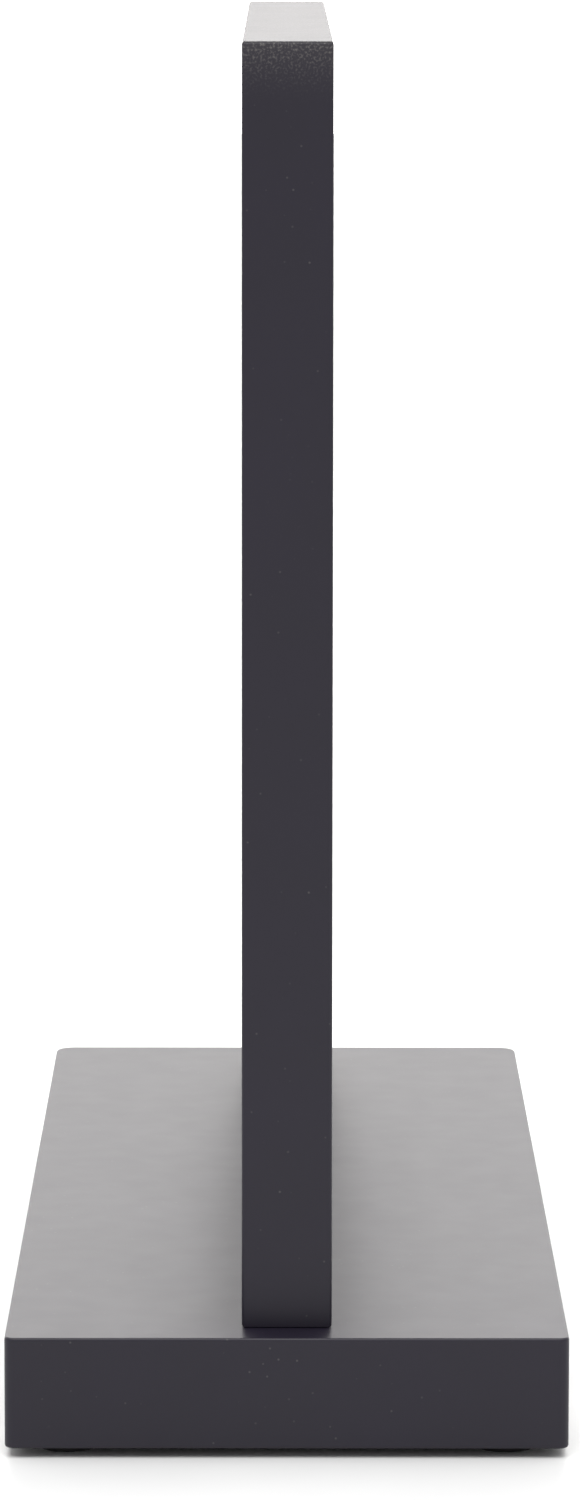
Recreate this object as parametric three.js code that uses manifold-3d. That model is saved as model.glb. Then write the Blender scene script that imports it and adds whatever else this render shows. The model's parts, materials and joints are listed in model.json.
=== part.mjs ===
// Paper towel holder: a mitred rectangular frame of square black stock stands lengthwise on a base
// board, and a sprung spindle for the roll lies level between its two uprights.
// Millimetres. X is across the base, Y along it with the front end at -Y, and Z is up. The origin is
// the middle of the floor plane that the four pads stand on.

import * as THREE from "three";
import { mergeVertices } from "three/addons/utils/BufferGeometryUtils.js";
import Module from "manifold-3d";

const wasm = await Module();
wasm.setup();

// ---- Driving dimensions ----

const pad = { radius: 6.25, height: 2, edge: 0.25, fromSide: 13, fromEnd: 11.5 };
const base = { width: 118.5, length: 340, thickness: 23.7, frontCorner: 2, rearCorner: 4.5, edge: 0.6 };
const frame = { length: 320, height: 270, stock: 19, edge: 0.5 };
const dowel = { radius: 2.5, length: 20, flutes: 10, fluteDepth: 0.25, spread: 4.5, fromCorner: 12 };
const screw = { headRadius: 4, headHeight: 2.4, rim: 0.3, radius: 2, core: 1.6, shank: 20, length: 38 };
const screwEnds = { runOut: 1, point: 5 };
const screwPlaces = [-120, -40, 40, 120];
const recess = { span: 4.6, blade: 1.1, depth: 1.9 };
const socket = { flangeRadius: 8, flange: 1.2, sleeveRadius: 5.5, bore: 4.3, depth: 7.8, floor: 1.1 };
const tube = { radius: 8, wall: 1, crimpDepth: 0.6, crimpHalfWidth: 1.6 };
const tip = { radius: 4, length: 6.5, rounding: 1.5 };
const stem = { radius: 6, exposed: 15 };
const bush = { flange: 2, sleeve: 12 };
const collar = { length: 4, spigot: 8, spigotRadius: 4 };
const spring = { radius: 5.6, wire: 0.6, length: 49.7, turns: 11, closedGap: 0.06 };
const plug = { length: 14, flange: 3 };
const stop = { length: 8 };
const chamfer = 0.5;

// Flat sides that stand for a round one: a turned piece, a dowel's hole and one turn of the spring.
const roundSides = 24;
const dowelHoleSides = 16;
const springTurnSides = 12;

// Steps that stand for a curve. An extruded shape draws each of its arcs in twice the steps given here.
const tipSteps = 4;
const baseCornerSteps = 4;
const stockCornerSteps = 2;
const wireSteps = 4;

// Clearances: a glue line between boards, a loose and a close fit between nested round pieces, the
// spare depth of a blind hole, and the spindle's play between its sockets.
const glueLine = 0.1;
const fit = 0.3;
const closeFit = 0.2;
const spareDepth = 1;
const endPlay = 0.5;

// ---- Places worked out from them ----

const baseTop = pad.height + base.thickness;
const frameFoot = baseTop + glueLine;
const frameTop = baseTop + frame.height;
const frameMiddle = (frameFoot + frameTop) / 2;
const halfStock = frame.stock / 2;
const quarter = Math.PI / 2;
const innerFace = frame.length / 2 - frame.stock;
const spindleEnd = innerFace - socket.flange - endPlay;
const tubeBore = tube.radius - tube.wall;
const plugRadius = tubeBore - fit;
const bushFace = -spindleEnd + stem.exposed;
const tubeFront = bushFace + bush.flange + fit;
const collarFront = bushFace + bush.flange + bush.sleeve + fit;
const collarBack = collarFront + collar.length;
const springFront = collarBack + fit;
const stopFront = springFront + spring.length + fit;
const plugFlangeFront = spindleEnd - plug.flange;
const plugFront = plugFlangeFront - plug.length;
const tubeBack = plugFlangeFront - fit;
const stopCrimp = stopFront + stop.length / 2;
const plugCrimp = plugFront + plug.length / 2;

// ---- Materials ----

const material = (color, roughness, metalness = 0) =>
  new THREE.MeshStandardMaterial({ color, roughness, metalness });

const lacquer = () => material(0x1b1a1d, 0.35);
const beech = () => material(0xc9a878, 0.7);
const rubber = () => material(0x141416, 0.8);
const zinc = () => material(0xa8a8a2, 0.35, 1);
const nickel = () => material(0xb8b4ac, 0.25, 1);
const steel = () => material(0xb4b4b6, 0.3, 1);
const nylon = () => material(0x18181a, 0.55);

// ---- Solids ----

function solidOf(geometry) {
  const bare = geometry.clone();
  bare.deleteAttribute("normal");
  bare.deleteAttribute("uv");
  const merged = mergeVertices(bare, 1e-4);
  return new wasm.Manifold(
    new wasm.Mesh({
      numProp: 3,
      vertProperties: merged.attributes.position.array,
      triVerts: new Uint32Array(merged.index.array),
    }),
  );
}

// The geometry with each of the tools cut out of it.
function cut(geometry, tools) {
  let solid = solidOf(geometry);
  for (const tool of tools) solid = solid.subtract(solidOf(tool));
  const { vertProperties, triVerts } = solid.getMesh();
  const result = new THREE.BufferGeometry();
  result.setAttribute("position", new THREE.BufferAttribute(vertProperties, 3));
  result.setIndex(new THREE.BufferAttribute(triVerts, 1));
  return result;
}

// A rectangle whose two corners at -Y have one radius and whose two at +Y have another.
function roundedRectangle(width, height, lowRadius, highRadius) {
  const lowX = width / 2 - lowRadius;
  const lowY = lowRadius - height / 2;
  const highX = width / 2 - highRadius;
  const highY = height / 2 - highRadius;
  const shape = new THREE.Shape();
  shape.absarc(lowX, lowY, lowRadius, -quarter, 0);
  shape.absarc(highX, highY, highRadius, 0, quarter);
  shape.absarc(-highX, highY, highRadius, quarter, 2 * quarter);
  shape.absarc(-lowX, lowY, lowRadius, 2 * quarter, 3 * quarter);
  shape.closePath();
  return shape;
}

// A solid of revolution about Y from [radius, y] points, listed with the solid on their left.
function turned(points) {
  return new THREE.LatheGeometry(points.map(([r, y]) => new THREE.Vector2(r, y)), roundSides);
}

// The same about Z.
const turnedUpright = (points) => turned(points).rotateX(quarter);

// Points up a wall of the given radius from y = low to y = high, with a rolled crimp at each of the middles.
function crimpedWall(radius, low, high, middles) {
  const points = [[radius, low]];
  for (const middle of middles) {
    for (const share of [-1, -0.5, 0, 0.5, 1]) {
      const dip = tube.crimpDepth * Math.cos(share * quarter) ** 2;
      points.push([radius - dip, middle + share * tube.crimpHalfWidth]);
    }
  }
  points.push([radius, high]);
  return points;
}

// Points round the end of a spindle tip, from its wall to the axis; outward is 1 or -1 along Y.
function tipEnd(shoulder, outward) {
  const points = [];
  for (let i = 0; i <= tipSteps; i++) {
    const turn = (i / tipSteps) * quarter;
    const radius = tip.radius - tip.rounding * (1 - Math.cos(turn));
    const along = tip.length - tip.rounding * (1 - Math.sin(turn));
    points.push([radius, shoulder + outward * along]);
  }
  points.push([0, shoulder + outward * tip.length]);
  return points;
}

// ---- Base board, pads and screws ----

// The tool for a screw hole through the base: a countersink at its underside and a clearance hole.
function countersunkHole(y) {
  const mouth = screw.headRadius + 2 * fit;
  const profile = [
    [0, pad.height - spareDepth],
    [mouth, pad.height - spareDepth],
    [mouth, pad.height + fit],
    [screw.radius + fit, pad.height + screw.headHeight + fit],
    [screw.radius + fit, baseTop + spareDepth],
    [0, baseTop + spareDepth],
  ];
  return turnedUpright(profile).translate(0, y, 0);
}

function baseBoard() {
  const outline = roundedRectangle(base.width, base.length, base.frontCorner, base.rearCorner);
  const board = new THREE.ExtrudeGeometry(outline, {
    depth: base.thickness - 2 * base.edge,
    bevelThickness: base.edge,
    bevelSize: base.edge,
    bevelOffset: -base.edge,
    bevelSegments: 1,
    curveSegments: baseCornerSteps,
  });
  board.translate(0, 0, pad.height + base.edge);
  return cut(board, screwPlaces.map(countersunkHole));
}

function padDisc() {
  const profile = [
    [0, 0],
    [pad.radius - pad.edge, 0],
    [pad.radius, pad.edge],
    [pad.radius, pad.height],
    [0, pad.height],
  ];
  return turnedUpright(profile);
}

// A wood screw that points up, with its cross recess in the face of the head at z = 0.
function woodScrew() {
  const profile = [
    [0, 0],
    [screw.headRadius, 0],
    [screw.headRadius, screw.rim],
    [screw.radius, screw.headHeight],
    [screw.radius, screw.shank],
    [screw.core, screw.shank + screwEnds.runOut],
    [screw.core, screw.length - screwEnds.point],
    [0, screw.length],
  ];
  const blade = new THREE.BoxGeometry(recess.span, recess.blade, 2 * recess.depth);
  const crossBlade = blade.clone().rotateZ(quarter);
  return cut(turnedUpright(profile), [blade, crossBlade]);
}

// ---- Frame ----

// A fluted dowel along Y, chamfered at both ends.
function flutedDowel() {
  const outline = new THREE.Shape();
  const points = 2 * dowel.flutes;
  for (let i = 0; i < points; i++) {
    const radius = dowel.radius - (i % 2 ? dowel.fluteDepth : 0);
    const turn = (i / points) * 2 * Math.PI;
    const place = [radius * Math.cos(turn), radius * Math.sin(turn)];
    if (i === 0) outline.moveTo(...place);
    else outline.lineTo(...place);
  }
  outline.closePath();
  const rod = new THREE.ExtrudeGeometry(outline, {
    depth: dowel.length - 2 * chamfer,
    bevelThickness: chamfer,
    bevelSize: chamfer,
    bevelOffset: -chamfer,
    bevelSegments: 1,
  });
  return rod.translate(0, 0, chamfer - dowel.length / 2).rotateX(-quarter);
}

// What a mitre takes off one end of a member: end is 1 for its +Z end and -1 for its -Z end.
function mitreTool(length, end) {
  const size = 3 * frame.stock;
  const block = new THREE.BoxGeometry(size, size, size);
  block.translate(0, size / 2, 0).rotateX((end * quarter) / 2);
  return block.translate(0, -halfStock, end * (length / 2 - glueLine / Math.SQRT2));
}

// The two blind holes across a mitre for its dowels.
function dowelHoles(length, end) {
  const radius = dowel.radius + fit;
  const depth = dowel.length + 2 * spareDepth;
  return [-dowel.spread, dowel.spread].map((x) => {
    const hole = new THREE.CylinderGeometry(radius, radius, depth, dowelHoleSides);
    hole.rotateX((end * quarter) / 2);
    return hole.translate(x, dowel.fromCorner - halfStock, end * (length / 2 - dowel.fromCorner));
  });
}

// Square stock along Z, mitred at both ends, with its long outer side at -Y; cuts lists further tools.
function member(length, cuts) {
  const section = roundedRectangle(frame.stock, frame.stock, frame.edge, frame.edge);
  const bar = new THREE.ExtrudeGeometry(section, {
    depth: length,
    bevelEnabled: false,
    curveSegments: stockCornerSteps,
  });
  bar.translate(0, 0, -length / 2);
  const ends = [-1, 1].flatMap((end) => [mitreTool(length, end), ...dowelHoles(length, end)]);
  return cut(bar, [...ends, ...cuts]);
}

function upright() {
  const radius = socket.sleeveRadius + closeFit;
  const bottom = halfStock - socket.depth - fit;
  const length = halfStock + spareDepth - bottom;
  const hole = new THREE.CylinderGeometry(radius, radius, length, roundSides);
  hole.translate(0, bottom + length / 2, 0);
  return member(frameTop - frameFoot, [hole]);
}

const topRail = () => member(frame.length, []);

function bottomRail() {
  const radius = screw.radius + fit;
  const depth = pad.height + fit + screw.length - frameFoot + spareDepth;
  const pilots = screwPlaces.map((place) => {
    const pilot = new THREE.CylinderGeometry(radius, radius, depth + spareDepth, roundSides);
    return pilot.translate(0, (depth - spareDepth) / 2 - halfStock, place);
  });
  return member(frame.length, pilots);
}

// ---- Sockets and spindle ----

// A flanged cup along Y: its sleeve runs to +Y from y = 0, the face of the wood, and its mouth is at -Y.
function socketCup() {
  const mouth = -glueLine - socket.flange;
  return turned([
    [0, socket.depth - socket.floor],
    [socket.bore, socket.depth - socket.floor],
    [socket.bore, mouth + chamfer],
    [socket.bore + chamfer, mouth],
    [socket.flangeRadius - chamfer, mouth],
    [socket.flangeRadius, mouth + chamfer],
    [socket.flangeRadius, -glueLine],
    [socket.sleeveRadius, -glueLine],
    [socket.sleeveRadius, socket.depth - chamfer],
    [socket.sleeveRadius - chamfer, socket.depth],
    [0, socket.depth],
  ]);
}

function spindleTube() {
  const crimps = [stopCrimp, plugCrimp];
  const outside = crimpedWall(tube.radius, tubeFront, tubeBack, crimps);
  const inside = crimpedWall(tubeBore, tubeFront, tubeBack, crimps).reverse();
  return turned([...outside, ...inside, outside[0]]);
}

function endPlug() {
  return turned([
    [0, plugFront],
    ...crimpedWall(plugRadius, plugFront, plugFlangeFront, [plugCrimp]),
    [tube.radius, plugFlangeFront],
    [tube.radius, spindleEnd - chamfer],
    [tube.radius - chamfer, spindleEnd],
    [tip.radius, spindleEnd],
    ...tipEnd(spindleEnd, 1),
  ]);
}

function guideBush() {
  const flangeBack = bushFace + bush.flange;
  const sleeveEnd = flangeBack + bush.sleeve;
  const bore = stem.radius + closeFit;
  const mouth = [bore + chamfer, bushFace];
  return turned([
    mouth,
    [tube.radius - chamfer, bushFace],
    [tube.radius, bushFace + chamfer],
    [tube.radius, flangeBack],
    [tubeBore - closeFit, flangeBack],
    [tubeBore - closeFit, sleeveEnd],
    [bore, sleeveEnd],
    [bore, bushFace + chamfer],
    mouth,
  ]);
}

function plungerStem() {
  return turned([
    ...tipEnd(-spindleEnd, -1).reverse(),
    [tip.radius, -spindleEnd],
    [stem.radius - chamfer, -spindleEnd],
    [stem.radius, -spindleEnd + chamfer],
    [stem.radius, collarFront],
    [plugRadius, collarFront],
    [plugRadius, collarBack],
    [collar.spigotRadius, collarBack],
    [collar.spigotRadius, collarBack + collar.spigot],
    [0, collarBack + collar.spigot],
  ]);
}

function springStop() {
  return turned([
    [0, stopFront - collar.spigot],
    [collar.spigotRadius, stopFront - collar.spigot],
    [collar.spigotRadius, stopFront],
    ...crimpedWall(plugRadius, stopFront, stopFront + stop.length, [stopCrimp]),
    [0, stopFront + stop.length],
  ]);
}

// The spring's centre line: an even helix along Y whose first and last turns lie closed.
class SpringLine extends THREE.Curve {
  getPoint(t, target = new THREE.Vector3()) {
    const turn = t * spring.turns;
    const closed = 2 * spring.wire + spring.closedGap;
    const open = (spring.length - 2 * spring.wire - 2 * closed) / (spring.turns - 2);
    const first = Math.min(turn, 1);
    const last = Math.max(turn - (spring.turns - 1), 0);
    const along = springFront + spring.wire + closed * (first + last) + open * (turn - first - last);
    const angle = turn * 2 * Math.PI;
    return target.set(spring.radius * Math.cos(angle), along, spring.radius * Math.sin(angle));
  }
}

function plungerSpring() {
  const wire = new THREE.Shape().absarc(0, 0, spring.wire, 0, 2 * Math.PI);
  return new THREE.ExtrudeGeometry(wire, {
    extrudePath: new SpringLine(),
    steps: springTurnSides * spring.turns,
    curveSegments: wireSteps,
    bevelEnabled: false,
  });
}

// ---- Assembly ----

const holder = new THREE.Group();

function add(parent, name, geometry, look, place = [0, 0, 0], turn = [0, 0, 0]) {
  const mesh = new THREE.Mesh(geometry, look);
  mesh.name = name;
  mesh.position.set(...place);
  mesh.rotation.set(...turn);
  parent.add(mesh);
}

const sides = { left: -1, right: 1 };
const ends = { front: -1, rear: 1 };
const levels = { bottom: frameFoot + dowel.fromCorner, top: frameTop - dowel.fromCorner };

add(holder, "base_board", baseBoard(), lacquer());
for (const [endName, end] of Object.entries(ends)) {
  for (const [sideName, side] of Object.entries(sides)) {
    const place = [side * (base.width / 2 - pad.fromSide), end * (base.length / 2 - pad.fromEnd), 0];
    add(holder, `pad_${endName}_${sideName}`, padDisc(), rubber(), place);
  }
}
screwPlaces.forEach((y, i) => {
  add(holder, `base_screw_${i + 1}`, woodScrew(), zinc(), [0, y, pad.height + fit]);
});

const outerLine = frame.length / 2 - halfStock;
add(holder, "front_upright", upright(), lacquer(), [0, -outerLine, frameMiddle]);
add(holder, "rear_upright", upright(), lacquer(), [0, outerLine, frameMiddle], [0, 0, 2 * quarter]);
add(holder, "top_rail", topRail(), lacquer(), [0, 0, frameTop - halfStock], [-quarter, 0, 0]);
add(holder, "bottom_rail", bottomRail(), lacquer(), [0, 0, frameFoot + halfStock], [quarter, 0, 0]);

for (const [endName, end] of Object.entries(ends)) {
  for (const [levelName, z] of Object.entries(levels)) {
    const lean = end * (levelName === "bottom" ? 1 : -1) * (quarter / 2);
    for (const [sideName, side] of Object.entries(sides)) {
      const place = [side * dowel.spread, end * (frame.length / 2 - dowel.fromCorner), z];
      add(holder, `dowel_${endName}_${levelName}_${sideName}`, flutedDowel(), beech(), place, [lean, 0, 0]);
    }
  }
}

add(holder, "front_socket", socketCup(), nickel(), [0, -innerFace, frameMiddle], [0, 0, 2 * quarter]);
add(holder, "rear_socket", socketCup(), nickel(), [0, innerFace, frameMiddle]);

const spindle = new THREE.Group();
spindle.position.z = frameMiddle;
holder.add(spindle);
add(spindle, "spindle_tube", spindleTube(), steel());
add(spindle, "spindle_end_plug", endPlug(), nickel());
add(spindle, "spindle_guide_bush", guideBush(), nylon());
add(spindle, "spring_stop", springStop(), nylon());
add(spindle, "plunger_spring", plungerSpring(), zinc());
add(spindle, "plunger", plungerStem(), nickel());

export default holder;
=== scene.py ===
"""The looks of the paper towel holder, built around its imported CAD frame.

Metres, in the CAD's own frame: X is across the base, Y along it with the front end at -Y, and Z is up.
Places come from the CAD nodes' boxes; the named sizes below are shapes inside those boxes.
"""

import json
import math

import bmesh
import bpy
from mathutils import Matrix, Vector


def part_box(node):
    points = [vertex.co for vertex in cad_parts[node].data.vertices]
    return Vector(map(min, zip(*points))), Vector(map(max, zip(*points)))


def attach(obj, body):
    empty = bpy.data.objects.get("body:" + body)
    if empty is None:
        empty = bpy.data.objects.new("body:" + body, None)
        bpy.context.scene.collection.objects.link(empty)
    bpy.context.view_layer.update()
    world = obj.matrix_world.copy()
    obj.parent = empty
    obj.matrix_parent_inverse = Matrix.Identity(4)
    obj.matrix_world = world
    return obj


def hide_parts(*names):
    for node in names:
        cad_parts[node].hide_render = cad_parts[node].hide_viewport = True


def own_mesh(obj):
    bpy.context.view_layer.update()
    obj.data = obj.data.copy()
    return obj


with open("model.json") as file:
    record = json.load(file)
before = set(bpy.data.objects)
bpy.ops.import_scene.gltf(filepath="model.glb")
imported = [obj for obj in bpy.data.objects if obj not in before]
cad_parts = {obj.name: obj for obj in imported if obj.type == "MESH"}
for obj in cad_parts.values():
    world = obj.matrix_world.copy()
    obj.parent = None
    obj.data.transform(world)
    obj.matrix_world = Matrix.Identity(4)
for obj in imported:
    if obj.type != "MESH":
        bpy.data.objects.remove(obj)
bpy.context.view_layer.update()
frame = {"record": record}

# ---- Sizes that the nodes' boxes don't give ----

BOARD_EDGE = 0.0006
BOARD_FRONT_CORNER = 0.002
BOARD_REAR_CORNER = 0.0045
STOCK_EDGE = 0.0007
# How far each board is cut back from the mitre's plane: half of the gap between two boards.
MITRE_SETBACK = 0.00007

# Easings of turned edges, from the widest to the sharpest.
WIDE_EASE = 0.0006
MEDIUM_EASE = 0.0005
SMALL_EASE = 0.0003
FINE_EASE = 0.0002
CRISP_EASE = 0.0001

SOCKET_FLANGE = 0.0012
SOCKET_SLEEVE = 0.0055
SOCKET_BORE = 0.0043
SOCKET_FLOOR = 0.0011
SOCKET_CLEARANCE = 0.0002
TUBE_WALL = 0.001
CRIMP_DEPTH = 0.0006
CRIMP_HALF_WIDTH = 0.0016
TIP_RADIUS = 0.004
TIP_LENGTH = 0.0065
TIP_ROUNDING = 0.0015
NESTED_FIT = 0.0003
BUSH_FLANGE = 0.002
BUSH_FIT = 0.0002
STEM_RADIUS = 0.006
COLLAR_LENGTH = 0.004
SPIGOT_RADIUS = 0.004
SPIGOT_LENGTH = 0.008
PLUG_FLANGE = 0.003
SPRING_RADIUS = 0.0056
SPRING_WIRE = 0.0006
SPRING_TURNS = 11
SPRING_CLOSED_GAP = 0.00006
DOWEL_RADIUS = 0.0025
DOWEL_LENGTH = 0.02
DOWEL_FLUTES = 10
DOWEL_FLUTE_DEPTH = 0.00025
DOWEL_CHAMFER = 0.0005
DOWEL_FIT = 0.0003
SCREW_RIM = 0.0003
SCREW_HEAD_HEIGHT = 0.0024
SCREW_NECK = 0.0002
SCREW_SHANK_RADIUS = 0.002
SCREW_CORE_RADIUS = 0.00135
SCREW_THREAD_START = 0.016
SCREW_PITCH = 0.0018
SCREW_POINT = 0.005
SCREW_BLUNT_END = 0.00005
SCREW_FIT = 0.0003
RECESS_SPAN = 0.0046
RECESS_BLADE = 0.0011
RECESS_DEPTH = 0.0019
HOLE_SPARE = 0.001

# How far the dust specks and the painted highlight on the lacquer reach down from the head, and where they
# are full.
DUST_AND_HIGHLIGHT_DEPTH = 0.014
FULL_DUST_AND_HIGHLIGHT_DEPTH = 0.0006

# Shares, not lengths: half a thread ridge in its pitch, and the recess's end in its mouth.
SCREW_RIDGE_SHARE = 0.24
RECESS_END_SCALE = 0.6

# How finely round shapes are drawn.
ARC_STEPS = 5
ROUND = 96
HOLE_ROUND = 48
CRIMP_STEPS = 12
SPRING_STEPS_PER_TURN = 40
WIRE_SIDES = 12
DOWEL_SIDES_PER_FLUTE = 8
SCREW_SIDES = 32
THREAD_ROWS_PER_TURN = 9
ON_AXIS = 1e-7
SHARP_ANGLE = math.radians(35)

# ---- Light, floor and camera ----

# Room light by how far a direction points along +Y: where it starts and ends to grow, from what to what.
ROOM_SWEEP = (-0.5, 0.9, 0.63, 1.15)
ROOM_GLOW = (0.85, 1.0, 0, 3.15)
GLOW_TINT = (1.0, 0.975, 0.95)
SOFTBOX_PLACE = (0, -0.5, 1.5)
SOFTBOX_AIM = (0, -0.1, 0)
SOFTBOX_WIDTH = 1.6
SOFTBOX_WATTS = 22
FLOOR_HALF_WIDTH = 6
FLOOR_SEGMENTS = 8

CAMERA_ASIDE = -0.0014
CAMERA_BEFORE_FRONT = 1.3798
CAMERA_HEIGHT = 0.3392
CAMERA_TURN = (math.pi / 2 - 0.1362, -0.0009, -0.0013)
CAMERA_LENS = 161.55
SENSOR_WIDTH = 36
VIEW_DEPTH = 50

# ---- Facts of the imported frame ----

record = frame["record"]
body_of_node = {node: body for body, nodes in record["behaviour"]["bodies"].items() for node in nodes}
spindle_axis = (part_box("spindle_tube")[0].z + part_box("spindle_tube")[1].z) / 2
along_spindle = Matrix.Translation((0, 0, spindle_axis)) @ Matrix.Rotation(-math.pi / 2, 4, "X")


def nodes_named(prefix):
    return [node for node in body_of_node if node.startswith(prefix)]


# ---- Mesh helpers ----

def new_object(name, mesh_in_work):
    """A scene object from a mesh in work, with its faces turned outward."""
    bmesh.ops.recalc_face_normals(mesh_in_work, faces=mesh_in_work.faces)
    mesh = bpy.data.meshes.new(name)
    mesh_in_work.to_mesh(mesh)
    mesh_in_work.free()
    made = bpy.data.objects.new(name, mesh)
    bpy.context.scene.collection.objects.link(made)
    return made


def eased(corners):
    """The outline through (radius, along, easing) corners, each eased corner turned into an arc."""
    points = []
    for i, (radius, along, easing) in enumerate(corners):
        here = Vector((radius, along))
        if easing == 0:
            points.append(here)
            continue
        before = (Vector(corners[i - 1][:2]) - here).normalized()
        after = (Vector(corners[(i + 1) % len(corners)][:2]) - here).normalized()
        half = before.angle(after) / 2
        middle = here + (before + after).normalized() * easing / math.sin(half)
        first = here + before * easing / math.tan(half) - middle
        last = here + after * easing / math.tan(half) - middle
        sweep = math.pi - 2 * half
        for step in range(ARC_STEPS + 1):
            turn = sweep * step / ARC_STEPS
            points.append(middle + (first * math.sin(sweep - turn) + last * math.sin(turn)) / math.sin(sweep))
    return points


def turned(corners, place, sides=ROUND):
    """A solid turned about local Z from (radius, along, easing) corners, then put in its place."""
    work = bmesh.new()
    rings = []
    for radius, along in eased(corners):
        if radius < ON_AXIS:
            rings.append([work.verts.new((0, 0, along))])
            continue
        angles = [2 * math.pi * i / sides for i in range(sides)]
        rings.append([work.verts.new((radius * math.cos(a), radius * math.sin(a), along)) for a in angles])
    for one, two in zip(rings, rings[1:] + rings[:1]):
        if len(one) == 1 and len(two) == 1:
            continue
        for i in range(sides):
            j = (i + 1) % sides
            if len(one) == 1:
                work.faces.new((one[0], two[j], two[i]))
            elif len(two) == 1:
                work.faces.new((one[i], one[j], two[0]))
            else:
                work.faces.new((one[i], one[j], two[j], two[i]))
    bmesh.ops.transform(work, matrix=place, verts=work.verts)
    return work


def rings_solid(rings):
    """A closed solid through rings of points, all of one length, with flat ends."""
    work = bmesh.new()
    rows = [[work.verts.new(point) for point in ring] for ring in rings]
    for one, two in zip(rows, rows[1:]):
        for i in range(len(one)):
            j = (i + 1) % len(one)
            work.faces.new((one[i], one[j], two[j], two[i]))
    work.faces.new(rows[0][::-1])
    work.faces.new(rows[-1])
    return work


def ease_edges(work, edges, radius):
    """Rounds the edges to the radius."""
    options = {"offset_type": "OFFSET", "segments": ARC_STEPS, "profile": 0.5, "affect": "EDGES"}
    bmesh.ops.bevel(work, geom=edges, offset=radius, clamp_overlap=True, **options)


def carve(made, tools):
    """Cuts the tools' shapes out of the object."""
    joined = bmesh.new()
    for tool in tools:
        scratch = bpy.data.meshes.new("tool")
        tool.to_mesh(scratch)
        tool.free()
        joined.from_mesh(scratch)
        bpy.data.meshes.remove(scratch)
    cutter = new_object("cutter", joined)
    boolean = made.modifiers.new("cut", "BOOLEAN")
    boolean.operation = "DIFFERENCE"
    boolean.solver = "MANIFOLD"
    boolean.object = cutter
    graph = bpy.context.evaluated_depsgraph_get()
    result = bpy.data.meshes.new_from_object(made.evaluated_get(graph))
    made.modifiers.remove(boolean)
    made.data = result
    bpy.data.objects.remove(cutter)


def stand_for(node, made, look, flat_sided=False):
    """The object takes a CAD node's place: its body and a finished look."""
    made.name = f"{node}_finished"
    made.data.name = made.name
    made.data.materials.clear()
    made.data.materials.append(look)
    made.data.shade_smooth()
    made.data.set_sharp_from_angle(angle=SHARP_ANGLE)
    if flat_sided:
        made.modifiers.new("even_normals", "WEIGHTED_NORMAL").keep_sharp = True
    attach(made, body_of_node[node])
    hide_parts(node)


# ---- Materials ----

class Look:
    """A Principled material, and short ways to add nodes to it."""

    def __init__(self, name, settings):
        self.material = bpy.data.materials.new(name)
        self.material.use_nodes = True
        self.tree = self.material.node_tree
        self.shader = self.tree.nodes["Principled BSDF"]
        for socket, value in settings.items():
            self.shader.inputs[socket].default_value = value

    def node(self, kind, inputs, **settings):
        made = self.tree.nodes.new("ShaderNode" + kind)
        for setting, value in settings.items():
            setattr(made, setting, value)
        for socket, value in inputs.items():
            if isinstance(value, bpy.types.NodeSocket):
                self.tree.links.new(value, made.inputs[socket])
            else:
                made.inputs[socket].default_value = value
        return made

    def places(self, stretch=(1, 1, 1), turn=(0, 0, 0)):
        """The object's own coordinates, in metres, turned and then stretched."""
        coordinates = self.node("TexCoord", {}).outputs["Object"]
        turned_places = self.node("Mapping", {"Vector": coordinates, "Rotation": turn}).outputs[0]
        return self.node("Mapping", {"Vector": turned_places, "Scale": stretch}).outputs[0]

    def noise(self, places, per_metre, detail=2.0):
        return self.node("TexNoise", {"Vector": places, "Scale": per_metre, "Detail": detail}).outputs[0]

    def cells(self, places, per_metre):
        return self.node("TexVoronoi", {"Vector": places, "Scale": per_metre}).outputs["Distance"]

    def spread(self, value, start, end, low, high):
        """Values from start to end become low to high, and stay there beyond them."""
        inputs = {"Value": value, "From Min": start, "From Max": end, "To Min": low, "To Max": high}
        return self.node("MapRange", inputs).outputs[0]

    def combine(self, operation, first, second):
        return self.node("Math", {0: first, 1: second}, operation=operation).outputs[0]

    def colours(self, share, first, second):
        """The first colour where share is 0, the second where it is 1."""
        inputs = {0: share, 6: first, 7: second}
        return self.node("Mix", inputs, data_type="RGBA").outputs[2]

    def bump(self, height, depth, under=None):
        """Raises the surface by height times depth metres, over another bump if there is one."""
        inputs = {"Height": height, "Distance": depth}
        if under is not None:
            inputs["Normal"] = under
        return self.node("Bump", inputs).outputs[0]

    def finish(self, colour, roughness, normal):
        self.tree.links.new(colour, self.shader.inputs["Base Color"])
        self.tree.links.new(roughness, self.shader.inputs["Roughness"])
        self.tree.links.new(normal, self.shader.inputs["Normal"])
        return self.material


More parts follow.
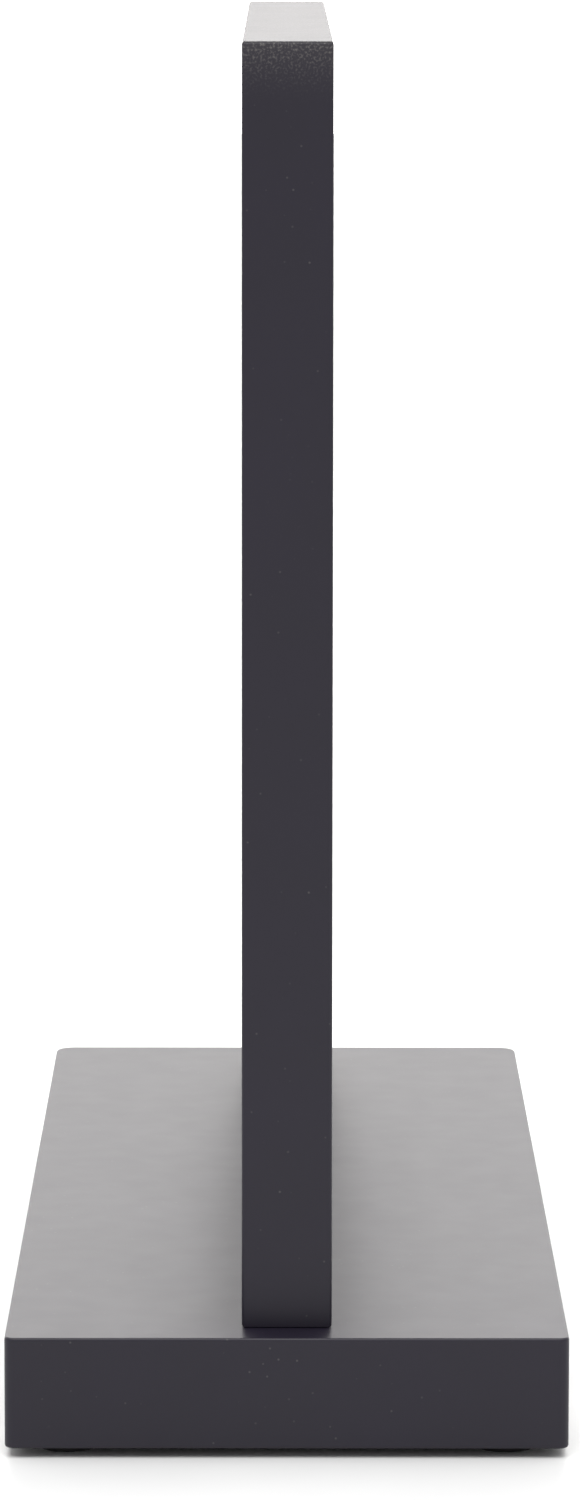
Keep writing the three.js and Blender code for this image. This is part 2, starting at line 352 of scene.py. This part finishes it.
def lacquer(head):
    """Satin black lacquer with faint orange peel and stray dust specks in patches, thicker near the head,
    under a speckled painted highlight that lightens the lacquer towards the head."""
    look = Look("black_lacquer_look", {"IOR": 1.5})
    places = look.places()
    height = look.node("SeparateXYZ", {0: places}).outputs["Z"]
    clouds = look.noise(places, 45, 3.0)
    colour = look.colours(clouds, (0.0055, 0.0032, 0.011, 1), (0.007, 0.004, 0.016, 1))
    patches = look.spread(look.noise(places, 60, 2.0), 0.42, 0.6, 0.1, 1)
    stray = look.spread(look.cells(places, 320), 0.03, 0.1, 0.45, 0)
    # A ramp towards the head: it thickens the dust specks and carries the painted highlight.
    climb = look.spread(height, head - DUST_AND_HIGHLIGHT_DEPTH, head - FULL_DUST_AND_HIGHLIGHT_DEPTH, 0, 1)
    near_top = look.combine("POWER", climb, 2.2)
    share = look.combine("MAXIMUM", near_top, patches)
    fine = look.spread(look.noise(places, 1900, 2.0), 0.5, 0.7, 0, 1)
    # Painted highlight: a speckled lightening of the lacquer towards the head, where the light falls brighter
    # on it.
    painted_head_highlight = look.combine("MULTIPLY", look.spread(fine, 0, 1, 0.15, 1), near_top)
    # The real dust specks and the painted highlight, mixed into one share of the grey colour.
    dust_and_painted_highlight = look.combine("MAXIMUM", look.combine("MULTIPLY", stray, share), painted_head_highlight)
    dusty_and_highlighted = look.colours(look.combine("MULTIPLY", dust_and_painted_highlight, 0.53), colour, (0.235, 0.223, 0.208, 1))
    satin = look.spread(look.noise(places, 130, 3.0), 0.3, 0.7, 0.455, 0.47)
    roughness = look.combine("MAXIMUM", satin, look.combine("MULTIPLY", dust_and_painted_highlight, 0.7))
    peel = look.bump(look.noise(places, 650), 0.000003)
    grit = look.bump(look.noise(places, 3600, 1.0), 0.000002, peel)
    return look.finish(dusty_and_highlighted, roughness, grit)


def rubber():
    look = Look("pad_rubber_look", {"IOR": 1.45})
    places = look.places()
    colour = look.colours(look.noise(places, 500), (0.012, 0.012, 0.013, 1), (0.028, 0.027, 0.027, 1))
    roughness = look.spread(look.noise(places, 900), 0.3, 0.7, 0.68, 0.86)
    return look.finish(colour, roughness, look.bump(look.noise(places, 2600, 4.0), 0.00002))


def nylon():
    look = Look("black_nylon_look", {"IOR": 1.53})
    places = look.places()
    colour = look.colours(look.noise(places, 220), (0.018, 0.018, 0.020, 1), (0.032, 0.031, 0.032, 1))
    roughness = look.spread(look.noise(places, 1400), 0.3, 0.7, 0.42, 0.58)
    return look.finish(colour, roughness, look.bump(look.noise(places, 5200, 3.0), 0.000006))


def beech():
    """Raw beech with short dark flecks. Its long grain leans at 45 degrees, one way for every dowel: along
    the front bottom and rear top ones, and across the front top and rear bottom ones."""
    look = Look("dowel_beech_look", {"IOR": 1.45})
    grain = look.places(stretch=(1, 0.08, 1), turn=(math.pi / 4, 0, 0))
    lines = look.noise(grain, 1600, 4.0)
    flecks = look.spread(look.cells(grain, 2200), 0.12, 0.3, 1, 0)
    wood = look.colours(lines, (0.42, 0.25, 0.12, 1), (0.68, 0.49, 0.30, 1))
    colour = look.colours(look.combine("MULTIPLY", flecks, 0.6), wood, (0.24, 0.12, 0.05, 1))
    roughness = look.spread(lines, 0.3, 0.7, 0.78, 0.6)
    return look.finish(colour, roughness, look.bump(lines, 0.00004))


def metal(name, dark, light, smooth, rough, per_metre, depth, stretch=(1, 1, 1)):
    """Plated or brushed metal; its fine lines run along the axis that stretch shrinks most."""
    look = Look(name, {"Metallic": 1.0})
    stains = look.noise(look.places(), 90, 3.0)
    lines = look.noise(look.places(stretch=stretch), per_metre, 3.0)
    colour = look.colours(look.spread(stains, 0, 1, 0.5, 1.2), dark, light)
    roughness = look.spread(look.combine("ADD", lines, stains), 0.6, 1.4, smooth, rough)
    return look.finish(colour, roughness, look.bump(lines, depth))


def screw_zinc():
    dark, light = (0.36, 0.37, 0.37, 1), (0.50, 0.50, 0.47, 1)
    return metal("screw_zinc_look", dark, light, smooth=0.28, rough=0.44, per_metre=1800, depth=0.000006)


def spindle_steel():
    """Brushed along the tube."""
    dark, light = (0.39, 0.39, 0.40, 1), (0.46, 0.46, 0.47, 1)
    brushed = {"per_metre": 2600, "depth": 0.000006, "stretch": (1, 0.02, 1)}
    return metal("spindle_steel_look", dark, light, smooth=0.24, rough=0.34, **brushed)


def fitting_nickel():
    """Plated over fine marks that run along the spindle."""
    dark, light = (0.40, 0.38, 0.345, 1), (0.53, 0.505, 0.465, 1)
    marked = {"per_metre": 900, "depth": 0.000003, "stretch": (6, 0.25, 6)}
    return metal("fitting_nickel_look", dark, light, smooth=0.16, rough=0.28, **marked)


def spring_steel():
    dark, light = (0.34, 0.34, 0.35, 1), (0.52, 0.52, 0.53, 1)
    return metal("spring_steel_look", dark, light, smooth=0.26, rough=0.42, per_metre=2400, depth=0.000008)


# ---- Stand: base board, pads and screws ----

def base_board():
    low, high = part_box("base_board")
    work = bmesh.new()
    size = Matrix.Diagonal((*(high - low), 1))
    bmesh.ops.create_cube(work, size=1, matrix=Matrix.Translation((low + high) / 2) @ size)
    upright_edges = [e for e in work.edges if abs(e.verts[0].co.z - e.verts[1].co.z) > BOARD_EDGE]
    front_edges = [e for e in upright_edges if e.verts[0].co.y < 0]
    rear_edges = [e for e in upright_edges if e.verts[0].co.y > 0]
    ease_edges(work, front_edges, BOARD_FRONT_CORNER)
    ease_edges(work, rear_edges, BOARD_REAR_CORNER)
    rims = [e for e in work.edges if abs(e.verts[0].co.z - e.verts[1].co.z) < BOARD_EDGE]
    ease_edges(work, rims, BOARD_EDGE)
    board = new_object("base_board_finished", work)
    carve(board, [screw_hole(node) for node in nodes_named("base_screw_")])
    return board


def screw_hole(node):
    """The tool for a screw's countersink and its clearance hole through the base."""
    low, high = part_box(node)
    board_low, board_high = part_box("base_board")
    mouth = (high.x - low.x) / 2 + 2 * SCREW_FIT
    radius = SCREW_SHANK_RADIUS + SCREW_FIT
    corners = [
        (0, board_low.z - HOLE_SPARE, 0),
        (mouth, board_low.z - HOLE_SPARE, 0),
        (mouth, board_low.z + SCREW_FIT, 0),
        (radius, board_low.z + SCREW_FIT + SCREW_HEAD_HEIGHT, 0),
        (radius, board_high.z + HOLE_SPARE, 0),
        (0, board_high.z + HOLE_SPARE, 0),
    ]
    return turned(corners, Matrix.Translation((0, (low.y + high.y) / 2, 0)), HOLE_ROUND)


def pad(node):
    low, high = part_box(node)
    middle = (low + high) / 2
    radius = (high.x - low.x) / 2
    height = high.z - low.z
    corners = [(0, 0, 0), (radius, 0, SMALL_EASE), (radius, height, CRISP_EASE), (0, height, 0)]
    return new_object(node, turned(corners, Matrix.Translation((middle.x, middle.y, low.z))))


def screw_radius(height, length, head_radius, angle):
    """How far the screw's surface lies from its axis, height above the face of its head."""
    if height <= SCREW_HEAD_HEIGHT:
        slope = max(0, height - SCREW_RIM) / (SCREW_HEAD_HEIGHT - SCREW_RIM)
        return head_radius + (SCREW_SHANK_RADIUS - head_radius) * slope
    if height <= SCREW_THREAD_START:
        return SCREW_SHANK_RADIUS
    taper = min(1, (length - height) / SCREW_POINT)
    start = min(1, (height - SCREW_THREAD_START) / SCREW_PITCH)
    core = SCREW_SHANK_RADIUS + (SCREW_CORE_RADIUS - SCREW_SHANK_RADIUS) * start
    phase = (height / SCREW_PITCH - angle / (2 * math.pi)) % 1
    ridge = max(0, 1 - abs(phase - 0.5) / SCREW_RIDGE_SHARE)
    return (core + (SCREW_SHANK_RADIUS - core) * ridge) * taper


def wood_screw(node):
    """A threaded screw that points up, with a cross recess in its countersunk head."""
    low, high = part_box(node)
    middle = Vector((0, (low.y + high.y) / 2, low.z))
    length = high.z - low.z
    head_radius = (high.x - low.x) / 2
    heights = [0, SCREW_RIM, SCREW_HEAD_HEIGHT, SCREW_HEAD_HEIGHT + SCREW_NECK, SCREW_THREAD_START]
    thread_rows = round((length - SCREW_THREAD_START) / (SCREW_PITCH / THREAD_ROWS_PER_TURN))
    rise = (length - SCREW_THREAD_START) / thread_rows
    heights += [SCREW_THREAD_START + rise * row for row in range(1, thread_rows)]
    heights.append(length - SCREW_BLUNT_END)
    rings = []
    for height in heights:
        ring = []
        for i in range(SCREW_SIDES):
            angle = 2 * math.pi * i / SCREW_SIDES
            radius = screw_radius(height, length, head_radius, angle)
            ring.append(middle + Vector((radius * math.cos(angle), radius * math.sin(angle), height)))
        rings.append(ring)
    screw = new_object(node, rings_solid(rings))
    carve(screw, [cross_recess(middle)])
    return screw


def cross_recess(middle):
    """The tapered cross that a driver fits, cut into the head from below."""
    arm = RECESS_SPAN / 2
    half = RECESS_BLADE / 2
    quarter = [(arm, -half), (arm, half), (half, half)]
    rings = []
    for height, scale in ((-HOLE_SPARE, 1.0), (0, 1.0), (RECESS_DEPTH, RECESS_END_SCALE)):
        ring = []
        for turn in range(4):
            for x, y in quarter:
                point = Vector((x * scale, y * (1 + scale) / 2, height))
                point.rotate(Matrix.Rotation(turn * math.pi / 2, 3, "Z"))
                ring.append(middle + point)
        rings.append(ring)
    return rings_solid(rings)


def build_stand(look):
    stand_for("base_board", base_board(), look, flat_sided=True)
    pad_look = rubber()
    for node in nodes_named("pad_"):
        stand_for(node, pad(node), pad_look)
    zinc = screw_zinc()
    for node in nodes_named("base_screw_"):
        stand_for(node, wood_screw(node), zinc)


# ---- Stand: the mitred frame and its dowels ----

def frame_ring():
    """The frame's four boards as one ring with eased edges, before the mitres are cut, and its box."""
    low = Vector(map(min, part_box("bottom_rail")[0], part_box("front_upright")[0]))
    high = Vector(map(max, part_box("top_rail")[1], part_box("rear_upright")[1]))
    stock = high.x - low.x
    work = bmesh.new()
    # Loops along the boards' long edges: two round the outside, then two round the opening.
    loops = []
    for x, inset in ((low.x, 0), (high.x, 0), (high.x, stock), (low.x, stock)):
        front, rear, foot, head = low.y + inset, high.y - inset, low.z + inset, high.z - inset
        corners = ((front, foot), (rear, foot), (rear, head), (front, head))
        loops.append([work.verts.new((x, y, z)) for y, z in corners])
    for one, two in zip(loops, loops[1:] + loops[:1]):
        for i in range(4):
            j = (i + 1) % 4
            work.faces.new((one[i], one[j], two[j], two[i]))
    long_edges = [work.edges.get((loop[i], loop[(i + 1) % 4])) for loop in loops for i in range(4)]
    head_edges = [work.edges.get((loops[0][i], loops[1][i])) for i in (2, 3)]
    ease_edges(work, long_edges + head_edges, STOCK_EDGE)
    return work, low, high


def mitred_board(node, ring, cuts):
    """One board of the ring: what is left of it behind each (corner, outward) mitre plane."""
    work = ring.copy()
    for corner, outward in cuts:
        everything = work.verts[:] + work.edges[:] + work.faces[:]
        normal = outward.normalized()
        point = corner - normal * MITRE_SETBACK
        cut = bmesh.ops.bisect_plane(work, geom=everything, plane_co=point, plane_no=normal, clear_outer=True)
        rim = [e for e in cut["geom_cut"] if isinstance(e, bmesh.types.BMEdge)]
        bmesh.ops.holes_fill(work, edges=rim, sides=0)
    return new_object(node, work)


def dowel_places():
    """Each dowel's node, and the place of its middle with its length along local Z."""
    places = {}
    for node in nodes_named("dowel_"):
        _, end, level, _ = node.split("_")
        lean = math.pi / 4 if (end == "front") == (level == "bottom") else 3 * math.pi / 4
        low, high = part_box(node)
        places[node] = Matrix.Translation((low + high) / 2) @ Matrix.Rotation(lean, 4, "X")
    return places


def dowel_hole(place):
    """The tool for the hole that a dowel fills from one board into the next."""
    radius = DOWEL_RADIUS + DOWEL_FIT
    reach = DOWEL_LENGTH / 2 + HOLE_SPARE
    return turned([(0, -reach, 0), (radius, -reach, 0), (radius, reach, 0), (0, reach, 0)], place, HOLE_ROUND)


def fluted_dowel(node, place):
    """A dowel with rounded grooves along it and chamfered ends."""
    half = DOWEL_LENGTH / 2
    sides = DOWEL_SIDES_PER_FLUTE * DOWEL_FLUTES
    rings = []
    for along, inset in (
        (-half, DOWEL_CHAMFER),
        (DOWEL_CHAMFER - half, 0),
        (half - DOWEL_CHAMFER, 0),
        (half, DOWEL_CHAMFER),
    ):
        ring = []
        for i in range(sides):
            angle = 2 * math.pi * i / sides
            groove = DOWEL_FLUTE_DEPTH * (0.5 - 0.5 * math.cos(DOWEL_FLUTES * angle)) ** 2
            radius = DOWEL_RADIUS - inset - groove
            ring.append(place @ Vector((radius * math.cos(angle), radius * math.sin(angle), along)))
        rings.append(ring)
    return new_object(node, rings_solid(rings))


def socket_hole(node):
    """The tool for the blind hole that takes a socket's sleeve."""
    low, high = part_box(node)
    radius = SOCKET_SLEEVE + SOCKET_CLEARANCE
    corners = [(0, low.y, 0), (radius, low.y, 0), (radius, high.y, 0), (0, high.y, 0)]
    into = -NESTED_FIT if node == "front_socket" else NESTED_FIT
    return turned(corners, Matrix.Translation((0, into, 0)) @ along_spindle, HOLE_ROUND)


def pilot_hole(node):
    """The tool for a screw's hole in the bottom rail."""
    low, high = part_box(node)
    radius = SCREW_SHANK_RADIUS + SCREW_FIT
    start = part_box("bottom_rail")[0].z - HOLE_SPARE
    end = high.z + HOLE_SPARE
    corners = [(0, start, 0), (radius, start, 0), (radius, end, 0), (0, end, 0)]
    return turned(corners, Matrix.Translation((0, (low.y + high.y) / 2, 0)), HOLE_ROUND)


def build_frame(look):
    ring, low, high = frame_ring()
    dowels = dowel_places()
    # Where each side of the frame lies, and which way it faces.
    ends = {"front": (low.y, -1), "rear": (high.y, 1)}
    levels = {"bottom": (low.z, -1), "top": (high.z, 1)}
    for end, (y, side) in ends.items():
        node = f"{end}_upright"
        cuts = [(Vector((0, y, z)), Vector((0, -side, up))) for z, up in levels.values()]
        board = mitred_board(node, ring, cuts)
        holes = [dowel_hole(place) for name, place in dowels.items() if end in name]
        carve(board, holes + [socket_hole(f"{end}_socket")])
        stand_for(node, board, look, flat_sided=True)
    for level, (z, up) in levels.items():
        node = f"{level}_rail"
        cuts = [(Vector((0, y, z)), Vector((0, side, -up))) for y, side in ends.values()]
        board = mitred_board(node, ring, cuts)
        holes = [dowel_hole(place) for name, place in dowels.items() if level in name]
        if level == "bottom":
            holes += [pilot_hole(screw) for screw in nodes_named("base_screw_")]
        carve(board, holes)
        stand_for(node, board, look, flat_sided=True)
    ring.free()
    wood = beech()
    for node, place in dowels.items():
        stand_for(node, fluted_dowel(node, place), wood)


# ---- Sockets and spindle ----

def socket_cup(node):
    """A flanged blind cup whose mouth faces the middle of the frame."""
    low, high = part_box(node)
    mouth, into = (high.y, -1) if node == "front_socket" else (low.y, 1)
    depth = high.y - low.y
    radius = (high.x - low.x) / 2
    corners = [
        (0, depth - SOCKET_FLOOR, 0),
        (SOCKET_BORE, depth - SOCKET_FLOOR, SMALL_EASE),
        (SOCKET_BORE, 0, MEDIUM_EASE),
        (radius, 0, WIDE_EASE),
        (radius, SOCKET_FLANGE, CRISP_EASE),
        (SOCKET_SLEEVE, SOCKET_FLANGE, 0),
        (SOCKET_SLEEVE, depth, MEDIUM_EASE),
        (0, depth, 0),
    ]
    placed = [(r, mouth + into * along, easing) for r, along, easing in corners]
    return new_object(node, turned(placed, along_spindle))


def crimped_wall(radius, start, end, middles, easing):
    """Corners along a wall from start to end, with a rolled crimp at each of the middles."""
    corners = [(radius, start, easing)]
    for middle in middles:
        for step in range(CRIMP_STEPS + 1):
            share = 2 * step / CRIMP_STEPS - 1
            dip = CRIMP_DEPTH * math.cos(share * math.pi / 2) ** 2
            corners.append((radius - dip, middle + share * CRIMP_HALF_WIDTH, 0))
    corners.append((radius, end, easing))
    return corners


def crimp_places():
    """The middles of the spring stop's body and of the end plug's sleeve."""
    stop_low, stop_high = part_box("spring_stop")
    plug_low, plug_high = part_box("spindle_end_plug")
    stop_middle = (stop_low.y + SPIGOT_LENGTH + stop_high.y) / 2
    plug_middle = (plug_low.y + plug_high.y - TIP_LENGTH - PLUG_FLANGE) / 2
    return stop_middle, plug_middle


def spindle_tube():
    low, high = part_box("spindle_tube")
    radius = (high.x - low.x) / 2
    crimps = crimp_places()
    outside = crimped_wall(radius, low.y, high.y, crimps, SMALL_EASE)
    inside = crimped_wall(radius - TUBE_WALL, low.y, high.y, crimps, SMALL_EASE)
    return new_object("tube", turned(outside + inside[::-1], along_spindle))


def tip_corners(shoulder, outward):
    """Corners of a spindle tip that stands out from its shoulder, outward along Y or against it."""
    end = shoulder + outward * TIP_LENGTH
    return [(TIP_RADIUS, shoulder, FINE_EASE), (TIP_RADIUS, end, TIP_ROUNDING), (0, end, 0)]


def nested_radius():
    """The radius of what fits inside the tube."""
    low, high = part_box("spindle_tube")
    return (high.x - low.x) / 2 - TUBE_WALL - NESTED_FIT


def end_plug():
    low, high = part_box("spindle_end_plug")
    radius = (high.x - low.x) / 2
    shoulder = high.y - TIP_LENGTH
    flange = shoulder - PLUG_FLANGE
    sleeve = crimped_wall(nested_radius(), low.y, flange, crimp_places()[1:], 0)
    corners = [(0, low.y, 0), *sleeve, (radius, flange, FINE_EASE), (radius, shoulder, WIDE_EASE)]
    return new_object("plug", turned(corners + tip_corners(shoulder, 1), along_spindle))


def guide_bush():
    low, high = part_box("spindle_guide_bush")
    radius = (high.x - low.x) / 2
    bore = STEM_RADIUS + BUSH_FIT
    sleeve = nested_radius() + NESTED_FIT - BUSH_FIT
    corners = [
        (bore, low.y, MEDIUM_EASE),
        (radius, low.y, WIDE_EASE),
        (radius, low.y + BUSH_FLANGE, CRISP_EASE),
        (sleeve, low.y + BUSH_FLANGE, 0),
        (sleeve, high.y, FINE_EASE),
        (bore, high.y, FINE_EASE),
    ]
    return new_object("bush", turned(corners, along_spindle))


def plunger():
    """The sliding stem: its tip, its collar behind the bush and the spigot that the spring sits on."""
    low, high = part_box("plunger")
    shoulder = low.y + TIP_LENGTH
    collar_end = high.y - SPIGOT_LENGTH
    corners = [
        *tip_corners(shoulder, -1)[::-1],
        (STEM_RADIUS, shoulder, WIDE_EASE),
        (STEM_RADIUS, collar_end - COLLAR_LENGTH, 0),
        (nested_radius(), collar_end - COLLAR_LENGTH, SMALL_EASE),
        (nested_radius(), collar_end, SMALL_EASE),
        (SPIGOT_RADIUS, collar_end, 0),
        (SPIGOT_RADIUS, high.y, WIDE_EASE),
        (0, high.y, 0),
    ]
    return new_object("plunger_body", turned(corners, along_spindle))


def spring_stop():
    low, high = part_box("spring_stop")
    body_start = low.y + SPIGOT_LENGTH
    wall = crimped_wall(nested_radius(), body_start, high.y, crimp_places()[:1], SMALL_EASE)
    corners = [
        (0, low.y, 0),
        (SPIGOT_RADIUS, low.y, WIDE_EASE),
        (SPIGOT_RADIUS, body_start, 0),
        *wall,
        (0, high.y, 0),
    ]
    return new_object("stop", turned(corners, along_spindle))


def plunger_spring():
    """Round wire in an even helix whose first and last turns lie closed."""
    low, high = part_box("plunger_spring")
    closed = 2 * SPRING_WIRE + SPRING_CLOSED_GAP
    pitch = (high.y - low.y - 2 * SPRING_WIRE - 2 * closed) / (SPRING_TURNS - 2)
    rings = []
    for step in range(SPRING_TURNS * SPRING_STEPS_PER_TURN + 1):
        turn = step / SPRING_STEPS_PER_TURN
        first = min(turn, 1)
        last = max(turn - (SPRING_TURNS - 1), 0)
        along = low.y + SPRING_WIRE + closed * (first + last) + pitch * (turn - first - last)
        angle = 2 * math.pi * turn
        outward = Vector((math.cos(angle), 0, math.sin(angle)))
        middle = Vector((0, along, spindle_axis)) + outward * SPRING_RADIUS
        ring = []
        for i in range(WIRE_SIDES):
            side = 2 * math.pi * i / WIRE_SIDES
            ring.append(middle + SPRING_WIRE * (outward * math.cos(side) + Vector((0, math.sin(side), 0))))
        rings.append(ring)
    return new_object("spring", rings_solid(rings))


def build_spindle():
    steel = spindle_steel()
    nickel = fitting_nickel()
    wire = spring_steel()
    black = nylon()
    stand_for("front_socket", socket_cup("front_socket"), nickel)
    stand_for("rear_socket", socket_cup("rear_socket"), nickel)
    stand_for("spindle_tube", spindle_tube(), steel)
    stand_for("spindle_end_plug", end_plug(), nickel)
    stand_for("spindle_guide_bush", guide_bush(), black)
    stand_for("spring_stop", spring_stop(), black)
    stand_for("plunger", plunger(), nickel)
    spring = plunger_spring()
    stand_for("plunger_spring", spring, wire)
    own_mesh(spring)


# ---- The stage ----

def pale_floor():
    work = bmesh.new()
    segments = {"x_segments": FLOOR_SEGMENTS, "y_segments": FLOOR_SEGMENTS}
    bmesh.ops.create_grid(work, size=FLOOR_HALF_WIDTH, **segments)
    floor = new_object("floor", work)
    look = Look("pale_floor_look", {"IOR": 1.17})
    places = look.places()
    colour = look.colours(look.noise(places, 3, 3.0), (0.80, 0.80, 0.80, 1), (0.83, 0.83, 0.825, 1))
    roughness = look.spread(look.noise(places, 40), 0.3, 0.7, 0.34, 0.4)
    material = look.finish(colour, roughness, look.bump(look.noise(places, 300), 0.000004))
    floor.data.materials.append(material)


def soft_room():
    """A pale room: dim behind the camera, bright behind the object, and brightest straight behind it."""
    world = bpy.data.worlds.new("soft_room")
    world.use_nodes = True
    bpy.context.scene.world = world
    nodes, links = world.node_tree.nodes, world.node_tree.links
    direction = nodes.new("ShaderNodeTexCoord").outputs["Generated"]
    parts = nodes.new("ShaderNodeSeparateXYZ")
    links.new(direction, parts.inputs[0])
    # The total is the glow times its tint, plus the sweep.
    total = nodes.new("ShaderNodeVectorMath")
    total.operation = "MULTIPLY_ADD"
    total.inputs[1].default_value = GLOW_TINT
    for i, (start, end, dim, bright) in ((2, ROOM_SWEEP), (0, ROOM_GLOW)):
        fade = nodes.new("ShaderNodeMapRange")
        fade.interpolation_type = "SMOOTHSTEP"
        links.new(parts.outputs["Y"], fade.inputs["Value"])
        for socket, value in (("From Min", start), ("From Max", end), ("To Min", dim), ("To Max", bright)):
            fade.inputs[socket].default_value = value
        links.new(fade.outputs[0], total.inputs[i])
    links.new(total.outputs[0], nodes["Background"].inputs["Color"])


def overhead_softbox():
    """A large square light above and before the object, aimed at its front half."""
    light = bpy.data.lights.new("overhead", "AREA")
    light.size = SOFTBOX_WIDTH
    light.energy = SOFTBOX_WATTS
    made = bpy.data.objects.new("overhead", light)
    bpy.context.scene.collection.objects.link(made)
    made.location = SOFTBOX_PLACE
    made.rotation_euler = (Vector(SOFTBOX_PLACE) - Vector(SOFTBOX_AIM)).to_track_quat("Z", "Y").to_euler()


def camera():
    """A little above the head, nearly square to the front end and tilted down, with a long lens."""
    lens = bpy.data.cameras.new("camera")
    lens.sensor_width = SENSOR_WIDTH
    lens.lens = CAMERA_LENS
    lens.clip_end = VIEW_DEPTH
    made = bpy.data.objects.new("camera", lens)
    bpy.context.scene.collection.objects.link(made)
    made.location = (CAMERA_ASIDE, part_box("base_board")[0].y - CAMERA_BEFORE_FRONT, CAMERA_HEIGHT)
    made.rotation_euler = CAMERA_TURN
    bpy.context.scene.camera = made


# ---- Assembly ----

bpy.context.scene.view_settings.view_transform = "Standard"
camera()
soft_room()
overhead_softbox()
pale_floor()

black_lacquer = lacquer(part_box("top_rail")[1].z)
build_stand(black_lacquer)
build_frame(black_lacquer)
build_spindle()
